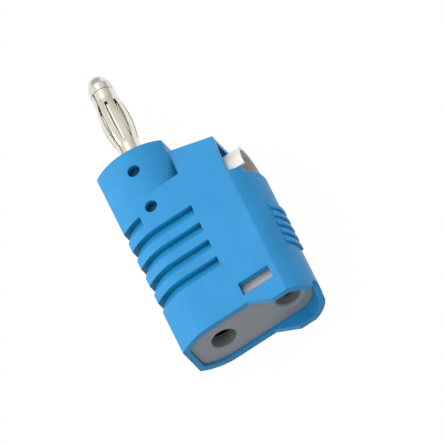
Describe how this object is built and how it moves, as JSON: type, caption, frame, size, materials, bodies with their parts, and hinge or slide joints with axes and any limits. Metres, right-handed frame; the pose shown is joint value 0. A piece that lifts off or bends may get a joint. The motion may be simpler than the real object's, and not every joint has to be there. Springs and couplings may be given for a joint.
{
  "type": "banana plug",
  "caption": "Moulded stackable 4 mm test plug with a sprung contact pin, a rear stacking socket and a spring clamp for a bare wire.",
  "frame": {"origin": "centre of the bounding box in X and Y, on the surface that the plug lies on", "axes": "+Y along the pin towards its tip, +X towards the wire lobe, +Z out of the broad face with the tool slot"},
  "size_m": [0.0228, 0.0562, 0.0107],
  "materials": {
    "housing": "satin moulded blue",
    "insert": "matt moulded grey",
    "pin": "bright nickel plate on turned brass",
    "contact_spring": "bright nickel plate on spring strip",
    "bar": "tinned strip",
    "clamp": "bright spring steel"
  },
  "bodies": {
    "root": {"housing": "housing", "rear_insert": "insert", "contact_pin": "pin", "lantern_spring": "contact_spring", "current_bar": "bar", "clamp_spring": "clamp"}
  },
  "joints": []
}
